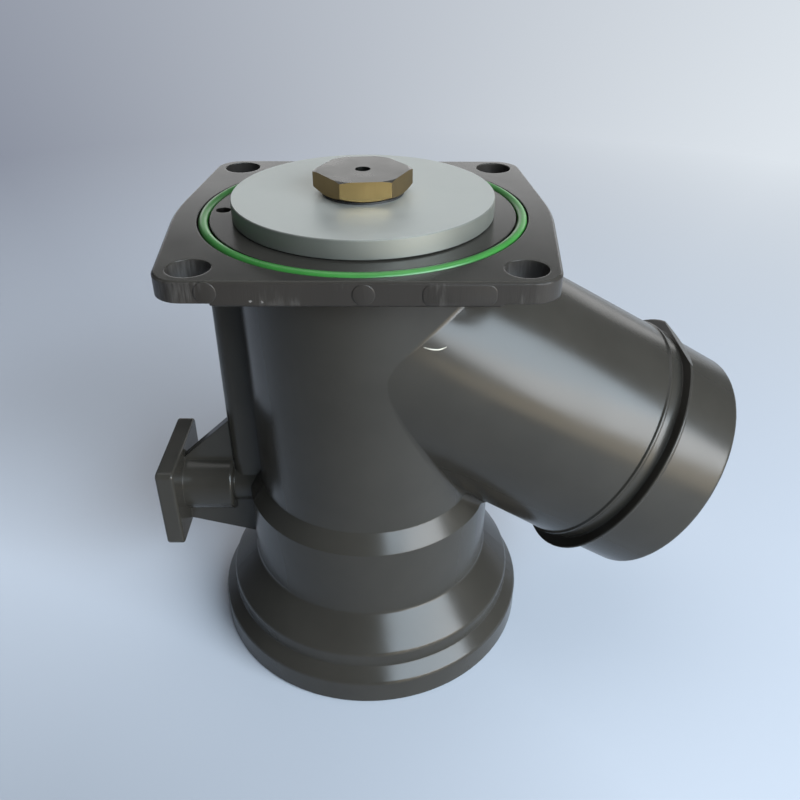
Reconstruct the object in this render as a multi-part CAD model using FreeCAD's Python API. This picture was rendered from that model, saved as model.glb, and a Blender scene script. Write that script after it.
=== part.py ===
import FreeCAD, Part
import math
import os

from FreeCAD import Vector

# Compressor intake valve: a spring-closed poppet valve in a cast housing with a slanted suction branch.
# Frame: millimetres, origin at the centre of the flange's sealing face, +Z up out of the housing,
# +X towards the suction branch. The valve stands on the ring of its base.

# Housing body, measured up from the base
housing_height = 200.0
shoulder_over_branch = 5.2
shoulder_rise = 7.8
band_foot_h = 37.7
lip_top_h = 24.2
lip_foot_h = 17.4
rim_top_h = 12.0
body_top_r = 51.6
body_foot_r = 49.9
lip_r = 67.5
lip_round = 2.5
rim_r = 72.8
casting_round = 2.0
edge_round = 1.0
edge_break = 0.8

# Mounting flange
flange_t = 9.0
flange_half_y = 66.2
flange_corner_x = 66.3
flange_apex_x = 73.0
flange_apex_round = 120.0
bolt_spacing = 111.0
bolt_hole_r = 7.5
bolt_corner_round = 10.5
spotface_r = 13.5
spotface_depth = 1.4

# Sealing ring of the flange and its groove
ring_mean_r = 60.7
ring_section_r = 1.78
ring_groove_w = 4.8
ring_groove_depth = 2.7
open_ring_sides = 12
hidden_ring_sides = 8

# Suction duct and branch
duct_r = 44.0
seat_land_h = 6.0
seat_r = 43.0
branch_axis_h = 157.8
branch_angle = 30.0
branch_root_r = 49.9
branch_r = 51.9
branch_bore_r = 46.0
branch_length = 152.0
ridge_station = 115.6
ridge_rise = 0.7
ridge_w = 2.0
ridge_crest_w = 0.8
collar_station = 121.7
collar_crest_w = 1.0
collar_w = 4.6
collar_r = 56.5
collar_flat_r = 53.0
spigot_r = 51.8
mouth_round = 2.0
branch_fillet = 3.0

# Control air port: square flange on a boss, with webs above and below
port_face_x = -93.3
port_plate_t = 8.0
port_plate_w = 47.0
port_plate_h = 40.4
port_plate_round = 2.6
port_rim_round = 1.2
port_over_ceiling = 0.3
port_boss_r = 13.6
port_boss_end_x = -62.5
port_boss_round = 1.5
port_neck_r = 9.6
port_bore_r = 5.0
port_bolt_spacing = 35.0
port_bolt_r = 2.5
port_bolt_depth = 6.0
upper_web_t = 5.0
upper_web_rise = 14.8
upper_web_slope = 42.4
lower_web_t = 12.4
lower_web_drop = 18.3
lower_web_slope = 15.2

# Rib with the passage that leads control air to the flange face
rib_x = -57.3
rib_r = 6.2
rib_foot_h = 62.0
passage_x = -54.0
passage_r = 2.9

# Cylinder and stem guide
floor_top_h = 78.0
floor_t = 10.0
cylinder_r = 50.0
cylinder_wall = 5.4
hub_r = 14.0
hub_top_h = 98.0
stem_r = 8.0
bush_wall = 2.0
bush_length = 16.0
stem_seal_r = 12.0
stem_seal_h = 5.0
stop_ring_t = 3.0
stop_clearance = 0.3

# Bottom cover
cover_seat_h = 10.0
cover_r = 60.0
cover_t = 6.0
cover_dish_r = 40.0
cover_dish_depth = 1.5
cover_ring_section_r = 1.3
cover_ring_mean_r = 55.0
clip_t = 1.8
clip_reach = 1.8
clip_width = 4.5
clip_gap_angle = 24.0
clip_ear_r = 3.2
clip_eye_r = 1.2
breather_x = 30.0
breather_thread_r = 4.8
breather_hex_af = 14.0
breather_hex_h = 2.6
breather_vent_r = 1.5
puller_hole_r = 2.5
puller_hole_y = 24.0
puller_hole_depth = 4.0

# Piston
lift = 18.0
piston_foot_h = 22.0
piston_web_t = 6.0
piston_skirt_h = 16.0
piston_clearance = 0.4
piston_skirt_wall = 8.0
guide_ring_h = 4.0
guide_ring_t = 2.0
piston_seal_h = 4.5
piston_seal_t = 4.5
groove_offset = 2.0
piston_thread_r = 6.0
piston_washer_r = 13.0
piston_washer_t = 2.0
piston_nut_af = 19.0
piston_nut_h = 8.0
stem_tail = 0.6

# Closing spring
spring_mean_r = 24.0
spring_wire_r = 1.4
spring_turns = 4.5
spring_sides = 6
spring_seat_gap = 0.05

# Valve disc, its facing and the stem nut
disc_r = 50.0
disc_t = 7.1
disc_lift_off = 0.35
disc_edge_chamfer = 0.5
facing_inner_r = 44.6
facing_outer_r = 49.0
facing_t = 2.4
facing_clearance = 0.05
collar_stem_r = 14.0
collar_stem_h = 6.0
stem_ring_mean_r = 10.9
stem_ring_section_r = 0.9
nut_washer_r = 15.6
nut_washer_t = 0.8
nut_af = 32.7
nut_h = 7.85
nut_turn = 5.6
nut_bore_depth = 5.6
nut_hole_r = 2.9
nut_chamfer = 1.1
thread_engagement_gap = 0.3

# Hexagons
hex_sides = 6
hex_chamfer_angle = 30.0

# Clearances
running_gap = 0.04
fit_gap = 0.02
thread_gap = 0.05
through = 1.0

# Levels in the frame, worked out from the heights above the base
base_z = -housing_height
floor_top_z = base_z + floor_top_h
floor_foot_z = floor_top_z - floor_t
hub_top_z = base_z + hub_top_h
cover_seat_z = base_z + cover_seat_h
piston_foot_z = base_z + piston_foot_h
piston_web_z = piston_foot_z + piston_web_t
piston_top_z = piston_foot_z + piston_skirt_h
stop_foot_z = piston_web_z + lift + stop_clearance
hub_foot_z = stop_foot_z + stop_ring_t
port_z = floor_foot_z + port_over_ceiling
disc_foot_z = disc_lift_off
disc_top_z = disc_foot_z + disc_t
nut_foot_z = disc_top_z + nut_washer_t
piston_r = cylinder_r - piston_clearance
band_r = cylinder_r + cylinder_wall
flange_mid_z = -flange_t / 2

# Underside of the branch where it leaves the band, and the shoulder that follows it
branch_draft = math.atan((branch_r - branch_root_r) / ridge_station)
branch_slant = math.radians(branch_angle)
branch_root_foot = Vector(
    -branch_root_r * math.sin(branch_slant), 0, base_z + branch_axis_h - branch_root_r * math.cos(branch_slant)
)
branch_foot_z = branch_root_foot.z - (band_r - branch_root_foot.x) * math.tan(branch_slant + branch_draft)
shoulder_foot_z = branch_foot_z + shoulder_over_branch
shoulder_top_z = shoulder_foot_z + shoulder_rise

UP = Vector(0, 0, 1)
ORIGIN = Vector(0, 0, 0)


def flat(u, v, size):
    """Corner that is cut flat, with legs of that size."""
    return (u, v, -size)


def rounded_wire(corners, place):
    """Closed wire through corners (u, v, radius); a corner made by flat() is cut instead of rounded."""
    bends = []
    for index, (u, v, radius) in enumerate(corners):
        here = Vector(u, v, 0)
        before = Vector(corners[index - 1][0], corners[index - 1][1], 0)
        following = corners[(index + 1) % len(corners)]
        after = Vector(following[0], following[1], 0)
        back = (before - here).normalize()
        ahead = (after - here).normalize()
        if radius <= 0:
            bends.append((here + back * -radius, None, here + ahead * -radius))
            continue
        half_angle = back.getAngle(ahead) / 2
        reach = radius / math.tan(half_angle)
        bisector = (back + ahead).normalize()
        middle = here + bisector * (radius / math.sin(half_angle) - radius)
        bends.append((here + back * reach, middle, here + ahead * reach))
    edges = []
    for index, (start, middle, end) in enumerate(bends):
        if middle:
            edges.append(Part.Arc(place(start), place(middle), place(end)).toShape())
        elif (end - start).Length > 0:
            edges.append(Part.makeLine(place(start), place(end)))
        next_start = bends[(index + 1) % len(bends)][0]
        edges.append(Part.makeLine(place(end), place(next_start)))
    return Part.Wire(edges)


def upright(point):
    """Place a profile point (radius, height) in the XZ plane."""
    return Vector(point.x, 0, point.y)


def lathe(corners):
    """Solid turned about the Z axis from a closed profile of (radius, height, rounding)."""
    face = Part.Face(rounded_wire(corners, upright))
    return face.revolve(ORIGIN, UP, 360)


def tube(inner_r, outer_r, foot_z, top_z):
    """Plain ring with a rectangular section."""
    outer = Part.makeCylinder(outer_r, top_z - foot_z, Vector(0, 0, foot_z))
    bore = Part.makeCylinder(inner_r, top_z - foot_z + 2 * through, Vector(0, 0, foot_z - through))
    return outer.cut(bore)


def rod(radius, foot_z, top_z):
    """Plain round bar on the Z axis."""
    return Part.makeCylinder(radius, top_z - foot_z, Vector(0, 0, foot_z))


def along_branch(shape):
    """Lay a shape built on +Z along the axis of the suction branch."""
    laid = shape.copy()
    laid.rotate(ORIGIN, Vector(0, 1, 0), 90 + branch_angle)
    laid.translate(Vector(0, 0, base_z + branch_axis_h))
    return laid


def hex_prism(across_flats, foot_z, height, chamfer, turn=0.0):
    """Hexagonal prism with the corners of both ends chamfered, one corner on +X before the turn."""
    corner_r = across_flats / 2 / math.cos(math.pi / hex_sides)
    corners = []
    for step in range(hex_sides):
        angle = math.radians(step * 360 / hex_sides + turn)
        corners.append((corner_r * math.cos(angle), corner_r * math.sin(angle), 0))
    wire = rounded_wire(corners, lambda p: Vector(p.x, p.y, foot_z))
    prism = Part.Face(wire).extrude(UP * height)
    rise = chamfer * math.tan(math.radians(hex_chamfer_angle))
    turned = lathe([
        (0, foot_z, 0),
        (corner_r - chamfer, foot_z, 0),
        (corner_r, foot_z + rise, 0),
        (corner_r, foot_z + height - rise, 0),
        (corner_r - chamfer, foot_z + height, 0),
        (0, foot_z + height, 0),
    ])
    return prism.common(turned)


def edges_where(shape, test):
    """Edges of a shape whose middle point passes a test."""
    chosen = []
    for edge in shape.Edges:
        if test(edge.valueAt((edge.FirstParameter + edge.LastParameter) / 2), edge):
            chosen.append(edge)
    return chosen


def body_casting():
    """Outer form of the body: drafted tube, shoulder, band and stepped flare of the base."""
    return lathe([
        (0, base_z, 0),
        flat(rim_r, base_z, edge_break),
        (rim_r, base_z + rim_top_h, casting_round),
        (lip_r, base_z + lip_foot_h, 0),
        (lip_r, base_z + lip_top_h, lip_round),
        (band_r, base_z + band_foot_h, casting_round),
        (band_r, shoulder_foot_z, 0),
        (body_foot_r, shoulder_top_z, 0),
        (body_top_r, flange_mid_z, 0),
        (0, flange_mid_z, 0),
    ])


def branch_casting():
    """Outer form of the branch: drafted tube with a fine ridge, the stop collar and the hose spigot."""
    profile = lathe([
        (0, 0, 0),
        (branch_root_r, 0, 0),
        (branch_r, ridge_station - ridge_w / 2, 0),
        (branch_r + ridge_rise, ridge_station - ridge_crest_w / 2, 0),
        (branch_r + ridge_rise, ridge_station + ridge_crest_w / 2, 0),
        (branch_r, ridge_station + ridge_w / 2, 0),
        (branch_r, collar_station, 0),
        flat(collar_r, collar_station, edge_break / 2),
        (collar_r, collar_station + collar_crest_w, 0),
        (spigot_r, collar_station + collar_w, 0),
        (spigot_r, branch_length, mouth_round),
        (0, branch_length, 0),
    ])
    above_flat = Part.makeBox(
        collar_r, 2 * collar_r, collar_w, Vector(-collar_flat_r - collar_r, -collar_r, collar_station)
    )
    return along_branch(profile.cut(above_flat))


def flange_casting():
    """Mounting flange: square plate whose two sides bow out to a soft point, corners round the bolts."""
    corners = [
        (flange_corner_x, -flange_half_y, bolt_corner_round),
        (flange_apex_x, 0, flange_apex_round),
        (flange_corner_x, flange_half_y, bolt_corner_round),
        (-flange_corner_x, flange_half_y, bolt_corner_round),
        (-flange_apex_x, 0, flange_apex_round),
        (-flange_corner_x, -flange_half_y, bolt_corner_round),
    ]
    wire = rounded_wire(corners, lambda p: Vector(p.x, p.y, -flange_t))
    plate = Part.Face(wire).extrude(UP * flange_t)
    rims = edges_where(plate, lambda point, edge: edge.BoundBox.ZLength < fit_gap)
    return plate.makeChamfer(edge_break, rims)


def port_casting():
    """Control air port: upright plate, boss with its neck, and the two webs that tie it to the body."""
    corners = []
    for side, rise in ((-1, -1), (1, -1), (1, 1), (-1, 1)):
        corners.append((side * port_plate_w / 2, rise * port_plate_h / 2, port_plate_round))
    wire = rounded_wire(corners, lambda p: Vector(port_face_x, p.x, port_z + p.y))
    plate = Part.Face(wire).extrude(Vector(port_plate_t, 0, 0))
    rims = edges_where(plate, lambda point, edge: edge.BoundBox.XLength < fit_gap)
    plate = plate.makeFillet(port_rim_round, rims)
    face = Vector(port_face_x, 0, port_z)
    boss = Part.makeCylinder(port_boss_r, port_boss_end_x - port_face_x, face, Vector(1, 0, 0))
    boss_end = edges_where(boss, lambda point, edge: point.x > port_boss_end_x - fit_gap)
    boss = boss.makeFillet(port_boss_round, boss_end)
    neck = Part.makeCylinder(port_neck_r, -port_face_x - duct_r, face, Vector(1, 0, 0))
    webs = []
    for way, rise, slope, thickness in (
        (1, upper_web_rise, upper_web_slope, upper_web_t),
        (-1, lower_web_drop, lower_web_slope, lower_web_t),
    ):
        root_x = -duct_r - through
        plate_x = port_face_x + port_plate_t
        reach = (root_x - plate_x) * math.tan(math.radians(slope))
        outline = [
            (plate_x, port_z, 0),
            (plate_x, port_z + way * rise, 0),
            (root_x, port_z + way * (rise + reach), 0),
            (root_x, port_z, 0),
        ]
        wire = rounded_wire(outline, lambda p, t=thickness: Vector(p.x, -t / 2, p.y))
        webs.append(Part.Face(wire).extrude(Vector(0, thickness, 0)))
    return [plate, boss, neck] + webs


def rib_casting():
    """Upright half-round rib that carries the air passage up to the flange."""
    height = flange_mid_z - base_z - rib_foot_h
    foot = Vector(rib_x, 0, base_z + rib_foot_h)
    round_part = Part.makeCylinder(rib_r, height, foot)
    web = Part.makeBox(-rib_x - duct_r - through, 2 * rib_r, height, Vector(rib_x, -rib_r, base_z + rib_foot_h))
    return [round_part, web]


def valve_housing():
    """Casting with its machined bores, grooves and holes."""
    body = body_casting().fuse(branch_casting()).Solids[0]
    crease = edges_where(
        body,
        lambda point, edge: point.x > 0
        and base_z + band_foot_h < point.z < -flange_t
        and math.hypot(point.x, point.y) < band_r + branch_fillet
        and edge.Curve.TypeId == "Part::GeomBSplineCurve",
    )
    body = body.makeFillet(branch_fillet, crease)
    body = body.fuse([flange_casting()] + port_casting() + rib_casting())
    body = body.cut(Part.makeBox(
        4 * flange_apex_x, 4 * flange_apex_x, housing_height, Vector(-2 * flange_apex_x, -2 * flange_apex_x, 0)
    ))

    duct = rod(duct_r, floor_top_z, -seat_land_h)
    seat = rod(seat_r, -seat_land_h - through, through)
    branch_bore = along_branch(Part.makeCylinder(branch_bore_r, branch_length + through))
    cylinder = rod(cylinder_r, cover_seat_z - through, floor_foot_z)
    cover_recess = rod(cover_r + fit_gap, base_z - through, cover_seat_z)
    clip_groove = rod(
        cover_r + clip_reach,
        cover_seat_z - cover_t - clip_t - running_gap,
        cover_seat_z - cover_t,
    )
    body = body.cut([duct, seat, branch_bore, cylinder, cover_recess, clip_groove])

    hub = rod(hub_r, hub_foot_z, hub_top_z)
    body = body.fuse(hub)
    bush_bore = rod(stem_r + bush_wall + fit_gap, hub_foot_z - through, hub_top_z + through)
    seal_pocket = rod(stem_seal_r + fit_gap, hub_top_z - stem_seal_h, hub_top_z + through)

    ring_groove = tube(
        ring_mean_r - ring_groove_w / 2, ring_mean_r + ring_groove_w / 2, -ring_groove_depth, through
    )
    passage = Part.makeCylinder(passage_r, -port_z + through, Vector(passage_x, 0, port_z))
    port_bore = Part.makeCylinder(
        port_bore_r, -port_face_x - duct_r, Vector(port_face_x, 0, port_z), Vector(1, 0, 0)
    )
    tools = [bush_bore, seal_pocket, ring_groove, passage, port_bore]
    for side in (-1, 1):
        foot = Vector(port_face_x, side * port_bolt_spacing / 2, port_z)
        tools.append(Part.makeCylinder(port_bolt_r, port_bolt_depth, foot, Vector(1, 0, 0)))
        for end in (-1, 1):
            centre = Vector(end * bolt_spacing / 2, side * bolt_spacing / 2, 0)
            tools.append(Part.makeCylinder(
                bolt_hole_r, flange_t + 2 * through, centre - UP * (flange_t + through)
            ))
            tools.append(Part.makeCylinder(
                spotface_r, through + spotface_depth, centre - UP * (flange_t + through)
            ).cut(rod(body_top_r + casting_round, -flange_t - 2 * through, 0)))
    return body.cut(tools)


def cord_corners(section_r, sides):
    """Corners of a regular polygon that stands for a round cord's section, flat side down."""
    corner_r = section_r / math.cos(math.pi / sides)
    angles = [math.pi * (2 * step + 1) / sides for step in range(sides)]
    return [(corner_r * math.sin(angle), -corner_r * math.cos(angle)) for angle in angles]


def cord_ring(mean_r, section_r, middle_z, sides):
    """Sealing ring: a cord's section turned about the Z axis."""
    corners = cord_corners(section_r, sides)
    return lathe([(mean_r + across, middle_z + up, 0) for across, up in corners])


def flange_o_ring():
    """Sealing ring that stands a little proud of its groove."""
    return cord_ring(ring_mean_r, ring_section_r, ring_section_r - ring_groove_depth + fit_gap, open_ring_sides)


def stem_bush(foot_z):
    """Plain bearing bush of the stem."""
    return tube(stem_r + running_gap, stem_r + bush_wall, foot_z, foot_z + bush_length)


def stem_seal():
    """Lip seal that keeps control air out of the suction duct."""
    foot_z = hub_top_z - stem_seal_h
    lip_gap = stem_seal_h / 2
    return lathe([
        (stem_r + running_gap, foot_z, 0),
        (stem_seal_r, foot_z, 0),
        (stem_seal_r, hub_top_z, 0),
        (stem_seal_r - bush_wall / 2, hub_top_z, 0),
        (stem_seal_r - bush_wall / 2, hub_top_z - lip_gap, 0),
        (stem_r + bush_wall / 2, hub_top_z - lip_gap, 0),
        (stem_r + bush_wall / 2, hub_top_z, 0),
        (stem_r + running_gap, hub_top_z, 0),
    ])


def lift_stop_ring():
    """Rubber washer under the hub that the piston meets at full lift."""
    return tube(stem_r + bush_wall / 2, hub_r, stop_foot_z, hub_foot_z)


def bottom_cover():
    """Plate that closes the cylinder, with the breather's hole and two puller holes."""
    top_z = cover_seat_z
    foot_z = top_z - cover_t
    groove_half = cover_ring_section_r + running_gap
    plate = lathe([
        (0, foot_z + cover_dish_depth, 0),
        (cover_dish_r, foot_z + cover_dish_depth, 0),
        (cover_dish_r + cover_dish_depth, foot_z, 0),
        (cover_r, foot_z, 0),
        flat(cover_r, top_z, edge_break),
        (0, top_z, 0),
    ])
    ring_groove = tube(
        cover_ring_mean_r - groove_half,
        cover_ring_mean_r + groove_half,
        top_z - 2 * cover_ring_section_r - fit_gap,
        top_z + through,
    )
    breather_hole = Part.makeCylinder(
        breather_thread_r + thread_gap, cover_t + 2 * through, Vector(breather_x, 0, foot_z - through)
    )
    tools = [ring_groove, breather_hole]
    for side in (-1, 1):
        foot = Vector(0, side * puller_hole_y, foot_z)
        tools.append(Part.makeCylinder(puller_hole_r, puller_hole_depth, foot))
    return plate.cut(tools)


def cover_o_ring():
    """Sealing ring between the cover and its seat in the housing."""
    middle_z = cover_seat_z - cover_ring_section_r - fit_gap / 2
    return cord_ring(cover_ring_mean_r, cover_ring_section_r, middle_z, hidden_ring_sides)


def cover_retaining_ring():
    """Internal snap ring with two eared ends."""
    top_z = cover_seat_z - cover_t - running_gap / 2
    foot_z = top_z - clip_t
    outer_r = cover_r + clip_reach - running_gap
    inner_r = outer_r - clip_width
    band = tube(inner_r, outer_r, foot_z, top_z)
    eye_r = inner_r - clip_ear_r / 2
    ears = []
    eyes = []
    for side in (-1, 1):
        angle = math.radians(side * clip_gap_angle / 2 + 90)
        centre = Vector(eye_r * math.cos(angle), eye_r * math.sin(angle), foot_z)
        ears.append(Part.makeCylinder(clip_ear_r, clip_t, centre))
        eyes.append(Part.makeCylinder(clip_eye_r, clip_t + 2 * through, centre - UP * through))
    half_gap = math.radians(clip_gap_angle / 2)
    reach = 2 * outer_r
    opening = Part.makePolygon([
        Vector(0, 0, foot_z - through),
        Vector(-reach * math.sin(half_gap), reach * math.cos(half_gap), foot_z - through),
        Vector(reach * math.sin(half_gap), reach * math.cos(half_gap), foot_z - through),
        Vector(0, 0, foot_z - through),
    ])
    wedge = Part.Face(opening).extrude(UP * (clip_t + 2 * through))
    return band.cut(wedge).fuse(ears).cut(eyes)


def breather_plug():
    """Vent plug in the cover, with a hexagon head and a vent hole."""
    head_top_z = cover_seat_z - cover_t + cover_dish_depth
    head = hex_prism(breather_hex_af, head_top_z - breather_hex_h, breather_hex_h, edge_round)
    shank = rod(breather_thread_r, head_top_z - through, cover_seat_z)
    plug = head.fuse(shank)
    plug = plug.cut(rod(breather_vent_r, head_top_z - breather_hex_h - through, cover_seat_z + through))
    plug.translate(Vector(breather_x, 0, 0))
    return plug


def closing_spring():
    """Compression spring between the piston and the floor of the duct, with ground ends."""
    foot_z = piston_web_z + spring_seat_gap
    height = floor_foot_z - spring_seat_gap - foot_z
    helix = Part.makeHelix(height / spring_turns, height, spring_mean_r)
    helix.translate(Vector(0, 0, foot_z))
    corners = [Vector(spring_mean_r + across, 0, foot_z + up) for across, up in cord_corners(spring_wire_r, spring_sides)]
    section = Part.makePolygon(corners + corners[:1])
    coil = Part.Wire(helix.Edges).makePipeShell([section], True, True)
    return coil.common(rod(spring_mean_r + 2 * spring_wire_r, foot_z, foot_z + height))


def valve_stem():
    """Stem: threaded top, collar under the disc, running length and threaded tail for the piston."""
    tail_z = piston_foot_z - piston_washer_t - piston_nut_h - stem_tail
    top_z = nut_foot_z + nut_bore_depth - thread_engagement_gap
    collar_foot_z = disc_foot_z - collar_stem_h
    stem = lathe([
        (0, tail_z, 0),
        flat(piston_thread_r, tail_z, edge_break),
        (piston_thread_r, piston_web_z, 0),
        (stem_r, piston_web_z, 0),
        flat(stem_r, collar_foot_z, edge_break),
        flat(collar_stem_r, collar_foot_z, edge_break),
        (collar_stem_r, disc_foot_z, 0),
        (stem_r, disc_foot_z, 0),
        flat(stem_r, top_z, edge_break),
        (0, top_z, 0),
    ])
    groove_half = stem_ring_section_r + running_gap
    groove = tube(
        stem_ring_mean_r - groove_half,
        stem_ring_mean_r + groove_half,
        disc_foot_z - 2 * stem_ring_section_r - running_gap,
        disc_foot_z + through,
    )
    return stem.cut(groove)


def stem_o_ring():
    """Small ring in the stem's collar that seals the bore of the disc."""
    middle_z = disc_foot_z - stem_ring_section_r - running_gap / 2
    return cord_ring(stem_ring_mean_r, stem_ring_section_r, middle_z, hidden_ring_sides)


def valve_disc():
    """Steel valve disc with a recess under it for the rubber facing."""
    disc = lathe([
        (stem_r + thread_gap, disc_foot_z, 0),
        flat(disc_r, disc_foot_z, disc_edge_chamfer),
        flat(disc_r, disc_top_z, disc_edge_chamfer),
        (stem_r + thread_gap, disc_top_z, 0),
    ])
    recess_top_z = facing_clearance + facing_t + fit_gap
    recess = tube(facing_inner_r - fit_gap, facing_outer_r + fit_gap, disc_foot_z - through, recess_top_z)
    return disc.cut(recess)


def disc_facing():
    """Rubber ring that closes on the flange round the seat."""
    return tube(facing_inner_r, facing_outer_r, facing_clearance, facing_clearance + facing_t)


def nut_washer():
    """Dark sealing washer under the stem nut."""
    return tube(stem_r + thread_gap, nut_washer_r, disc_top_z, nut_foot_z)


def stem_nut():
    """Low hexagon cap nut with a small hole through its top."""
    nut = hex_prism(nut_af, nut_foot_z, nut_h, nut_chamfer, nut_turn)
    bore = rod(stem_r + thread_gap, nut_foot_z - through, nut_foot_z + nut_bore_depth)
    hole = rod(nut_hole_r, nut_foot_z, nut_foot_z + nut_h + through)
    return nut.cut([bore, hole])


def piston():
    """Cup-shaped piston with grooves for its guide ring and its seal."""
    skirt_inner_r = piston_r - piston_skirt_wall
    cup = lathe([
        (piston_thread_r + thread_gap, piston_foot_z, 0),
        flat(piston_r, piston_foot_z, edge_break),
        flat(piston_r, piston_top_z, edge_break),
        (skirt_inner_r, piston_top_z, 0),
        flat(skirt_inner_r, piston_web_z, casting_round),
        (piston_thread_r + thread_gap, piston_web_z, 0),
    ])
    guide_foot_z = piston_foot_z + groove_offset
    guide_groove = tube(
        piston_r - guide_ring_t, piston_r + through, guide_foot_z, guide_foot_z + guide_ring_h
    )
    seal_foot_z = piston_top_z - groove_offset - piston_seal_h
    seal_groove = tube(
        piston_r - piston_seal_t, piston_r + through, seal_foot_z, seal_foot_z + piston_seal_h
    )
    return cup.cut([guide_groove, seal_groove])


def piston_guide_ring():
    """Plain bearing strip in the lower groove of the piston."""
    foot_z = piston_foot_z + groove_offset + fit_gap
    top_z = piston_foot_z + groove_offset + guide_ring_h - fit_gap
    return tube(piston_r - guide_ring_t + fit_gap, cylinder_r - running_gap, foot_z, top_z)


def piston_seal():
    """Cup seal in the upper groove of the piston, its lips towards the air above it."""
    foot_z = piston_top_z - groove_offset - piston_seal_h + fit_gap
    top_z = piston_top_z - groove_offset - fit_gap
    inner_r = piston_r - piston_seal_t + fit_gap
    outer_r = cylinder_r - running_gap
    lip_t = (outer_r - inner_r) / 3
    notch_z = foot_z + (top_z - foot_z) / 2
    return lathe([
        (inner_r, foot_z, 0),
        (outer_r, foot_z, 0),
        (outer_r, top_z, 0),
        (outer_r - lip_t, top_z, 0),
        ((inner_r + outer_r) / 2, notch_z, 0),
        (inner_r + lip_t, top_z, 0),
        (inner_r, top_z, 0),
    ])


def piston_washer():
    """Washer under the piston."""
    return tube(
        piston_thread_r + thread_gap, piston_washer_r, piston_foot_z - piston_washer_t, piston_foot_z
    )


def piston_nut():
    """Hexagon nut that clamps the piston to the stem."""
    foot_z = piston_foot_z - piston_washer_t - piston_nut_h
    nut = hex_prism(piston_nut_af, foot_z, piston_nut_h, edge_round)
    return nut.cut(rod(piston_thread_r + thread_gap, foot_z - through, foot_z + piston_nut_h + through))


pieces = {
    "valve_housing": valve_housing,
    "flange_o_ring": flange_o_ring,
    "stem_bush_upper": lambda: stem_bush(hub_top_z - stem_seal_h - bush_length),
    "stem_bush_lower": lambda: stem_bush(hub_foot_z),
    "stem_seal": stem_seal,
    "lift_stop_ring": lift_stop_ring,
    "bottom_cover": bottom_cover,
    "cover_o_ring": cover_o_ring,
    "cover_retaining_ring": cover_retaining_ring,
    "breather_plug": breather_plug,
    "closing_spring": closing_spring,
    "valve_stem": valve_stem,
    "stem_o_ring": stem_o_ring,
    "valve_disc": valve_disc,
    "disc_facing": disc_facing,
    "nut_washer": nut_washer,
    "stem_nut": stem_nut,
    "piston": piston,
    "piston_guide_ring": piston_guide_ring,
    "piston_seal": piston_seal,
    "piston_washer": piston_washer,
    "piston_nut": piston_nut,
}

os.makedirs("parts", exist_ok=True)
for name, build_piece in pieces.items():
    shape = build_piece()
    solids = shape.Solids
    print(name, "solids", len(solids), "valid", shape.isValid(), "volume", round(shape.Volume, 1))
    if len(solids) == 1:
        shape = solids[0]
    shape.exportStep(os.path.join("parts", name + ".step"))
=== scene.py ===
"""Compressor intake valve, dressed for the studio.

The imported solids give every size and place.  Each class below looks after one
sub-assembly of the valve: it builds the pieces that want a finer mesh than their
solids have, and gives every solid that stays its finish.
"""

import logging
import math
from dataclasses import dataclass
from enum import Enum
from functools import cache
from typing import Optional, Sequence

import bmesh
import bpy
from mathutils import Matrix, Vector


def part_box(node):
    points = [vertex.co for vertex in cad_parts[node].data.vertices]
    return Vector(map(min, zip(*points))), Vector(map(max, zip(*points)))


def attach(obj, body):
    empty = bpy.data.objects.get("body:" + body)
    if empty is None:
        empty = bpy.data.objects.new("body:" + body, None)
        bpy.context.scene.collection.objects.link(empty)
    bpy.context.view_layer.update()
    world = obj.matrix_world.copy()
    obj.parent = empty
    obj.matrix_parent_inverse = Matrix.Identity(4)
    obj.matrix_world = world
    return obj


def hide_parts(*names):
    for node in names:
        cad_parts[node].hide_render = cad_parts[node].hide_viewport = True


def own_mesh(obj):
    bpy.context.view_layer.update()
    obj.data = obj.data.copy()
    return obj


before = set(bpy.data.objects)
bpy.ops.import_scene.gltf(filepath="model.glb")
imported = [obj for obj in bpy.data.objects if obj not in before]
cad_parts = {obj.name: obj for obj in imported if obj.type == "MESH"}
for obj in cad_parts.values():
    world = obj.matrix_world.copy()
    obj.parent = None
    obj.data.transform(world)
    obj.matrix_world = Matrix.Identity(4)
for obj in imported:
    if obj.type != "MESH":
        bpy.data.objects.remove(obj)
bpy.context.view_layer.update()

Pair = tuple[float, float]
Triple = tuple[float, float, float]

MM = 0.001
FULL_TURN = 2.0 * math.pi
QUARTER_TURN = 0.5 * math.pi
# Points nearer than this many millimetres are one point.
WELD = 1e-4
# Steps round the axis of a turned piece that stands in plain sight.
FINE_STEPS = 288
# The middle part of a noise, where most of its values lie.
NOISE_SPAN = (0.3, 0.7)
# Where the paint has chipped off, in metres.
PAINT_CHIPS = ((-0.0336, -0.0662, -0.0063), (-0.0300, -0.0662, -0.0066),
               (-0.0461, -0.0380, -0.1693))
log = logging.getLogger("intake_valve")


class Body(Enum):
    """The two bodies of the valve."""

    HOUSING = "housing"
    POPPET = "poppet"


class Cut(Enum):
    """What a tool leaves of a piece."""

    COMMON = "INTERSECT"
    REST = "DIFFERENCE"


class Mark(Enum):
    """How a machined face was cut."""

    PLAIN = 0
    TURNED = 1
    DRAWN = 2


def add_object(name: str, data: bpy.types.ID) -> bpy.types.Object:
    """Makes an object of a mesh, a lamp or a camera and adds it to the scene.

    Args:
        name: the object's name.
        data: what it shows.

    Returns:
        The object.
    """
    made = bpy.data.objects.new(name, data)
    bpy.context.scene.collection.objects.link(made)
    return made


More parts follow.
